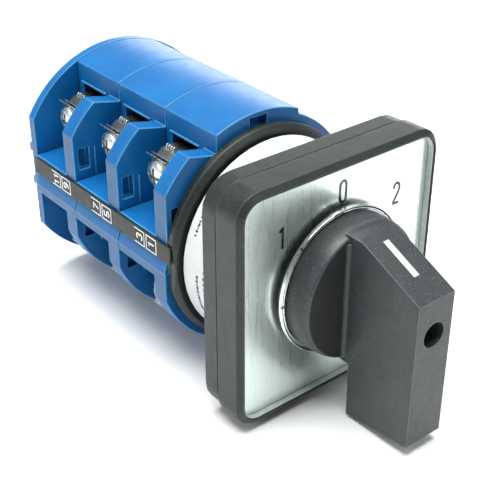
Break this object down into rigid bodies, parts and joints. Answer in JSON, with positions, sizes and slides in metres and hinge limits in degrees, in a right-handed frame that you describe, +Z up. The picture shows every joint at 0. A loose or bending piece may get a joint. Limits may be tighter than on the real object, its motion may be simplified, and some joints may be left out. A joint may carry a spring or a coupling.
{
  "type": "manual transfer switch",
  "caption": "Rotary cam changeover switch with a pointer handle, a square front plate and a stack of contact sections with side screw terminals, for a panel door.",
  "frame": {"origin": "on the shaft axis, in the rear face of the square mounting flange behind the front plate", "axes": "-Y out of the panel towards the operator, +Y along the shaft to the contact stack, +Z up when the handle is in position 0, +X to the operator's right"},
  "size_m": [0.064, 0.1319, 0.067],
  "materials": {
    "black_handle": "fine moulded texture",
    "white_inlay": "satin",
    "zinc_steel": "bright zinc plating",
    "shaft_steel": "drawn",
    "black_frame": "fine moulded texture",
    "brushed_silver": "vertically brushed, clear anodised",
    "clear_cover": "polished, transparent",
    "black_housing": "fine moulded texture",
    "white_label": "matt printed film",
    "cream_plastic": "moulded",
    "blue_plastic": "satin moulded",
    "contact_metal": "silver plated",
    "number_strip": "printed film"
  },
  "bodies": {
    "housing": {"front_frame": "black_frame", "fixing_screw_1": "zinc_steel", "fixing_screw_2": "zinc_steel", "fixing_screw_3": "zinc_steel", "fixing_screw_4": "zinc_steel", "legend_plate": "brushed_silver", "clear_cover": "clear_cover", "detent_housing": "black_housing", "rating_label": "white_label", "detent_roller_left": "zinc_steel", "detent_roller_right": "zinc_steel", "detent_spring": "shaft_steel", "flange_ring": "black_housing", "section_1": "blue_plastic", "section_2": "blue_plastic", "section_3": "blue_plastic", "fixed_contact_1_upper_left": "contact_metal", "fixed_contact_1_upper_right": "contact_metal", "fixed_contact_1_lower_left": "contact_metal", "fixed_contact_1_lower_right": "contact_metal", "fixed_contact_2_upper_left": "contact_metal", "fixed_contact_2_upper_right": "contact_metal", "fixed_contact_2_lower_left": "contact_metal", "fixed_contact_2_lower_right": "contact_metal", "fixed_contact_3_upper_left": "contact_metal", "fixed_contact_3_upper_right": "contact_metal", "fixed_contact_3_lower_left": "contact_metal", "fixed_contact_3_lower_right": "contact_metal", "terminal_screw_1_upper_left": "zinc_steel", "terminal_screw_1_upper_right": "zinc_steel", "terminal_screw_1_lower_left": "zinc_steel", "terminal_screw_1_lower_right": "zinc_steel", "terminal_screw_2_upper_left": "zinc_steel", "terminal_screw_2_upper_right": "zinc_steel", "terminal_screw_2_lower_left": "zinc_steel", "terminal_screw_2_lower_right": "zinc_steel", "terminal_screw_3_upper_left": "zinc_steel", "terminal_screw_3_upper_right": "zinc_steel", "terminal_screw_3_lower_left": "zinc_steel", "terminal_screw_3_lower_right": "zinc_steel", "number_strip_left": "number_strip", "number_strip_right": "number_strip", "rear_cover": "blue_plastic", "tie_bolt_left": "zinc_steel", "tie_bolt_right": "zinc_steel"},
    "rotor": {"shaft": "shaft_steel", "handle": "black_handle", "handle_mark": "white_inlay", "handle_screw": "zinc_steel", "detent_star": "cream_plastic", "cam_1": "cream_plastic", "cam_2": "cream_plastic", "cam_3": "cream_plastic"},
    "bridge_1_upper": {"contact_bridge_1_upper": "contact_metal"},
    "bridge_1_lower": {"contact_bridge_1_lower": "contact_metal"},
    "bridge_2_upper": {"contact_bridge_2_upper": "contact_metal"},
    "bridge_2_lower": {"contact_bridge_2_lower": "contact_metal"},
    "bridge_3_upper": {"contact_bridge_3_upper": "contact_metal"},
    "bridge_3_lower": {"contact_bridge_3_lower": "contact_metal"}
  },
  "joints": [
    {"name": "handle_turn", "type": "hinge", "parent": "housing", "child": "rotor", "pos_m": [0, 0, 0], "axis": [0, 1, 0], "range_deg": [-45, 45]},
    {"name": "bridge_1_upper_lift", "type": "slide", "parent": "housing", "child": "bridge_1_upper", "axis": [0, 0, 1], "range_m": [-0.0016, 0.0016]},
    {"name": "bridge_1_lower_lift", "type": "slide", "parent": "housing", "child": "bridge_1_lower", "axis": [0, 0, 1], "range_m": [-0.0016, 0.0016]},
    {"name": "bridge_2_upper_lift", "type": "slide", "parent": "housing", "child": "bridge_2_upper", "axis": [0, 0, 1], "range_m": [-0.0016, 0.0016]},
    {"name": "bridge_2_lower_lift", "type": "slide", "parent": "housing", "child": "bridge_2_lower", "axis": [0, 0, 1], "range_m": [-0.0016, 0.0016]},
    {"name": "bridge_3_upper_lift", "type": "slide", "parent": "housing", "child": "bridge_3_upper", "axis": [0, 0, 1], "range_m": [-0.0016, 0.0016]},
    {"name": "bridge_3_lower_lift", "type": "slide", "parent": "housing", "child": "bridge_3_lower", "axis": [0, 0, 1], "range_m": [-0.0016, 0.0016]}
  ],
  "couplings": [
    {"joint": "bridge_1_upper_lift", "follows": "handle_turn", "m_per_rad": 0.0020372},
    {"joint": "bridge_1_lower_lift", "follows": "handle_turn", "m_per_rad": 0.0020372},
    {"joint": "bridge_2_upper_lift", "follows": "handle_turn", "m_per_rad": 0.0020372},
    {"joint": "bridge_2_lower_lift", "follows": "handle_turn", "m_per_rad": 0.0020372},
    {"joint": "bridge_3_upper_lift", "follows": "handle_turn", "m_per_rad": 0.0020372},
    {"joint": "bridge_3_lower_lift", "follows": "handle_turn", "m_per_rad": 0.0020372}
  ]
}
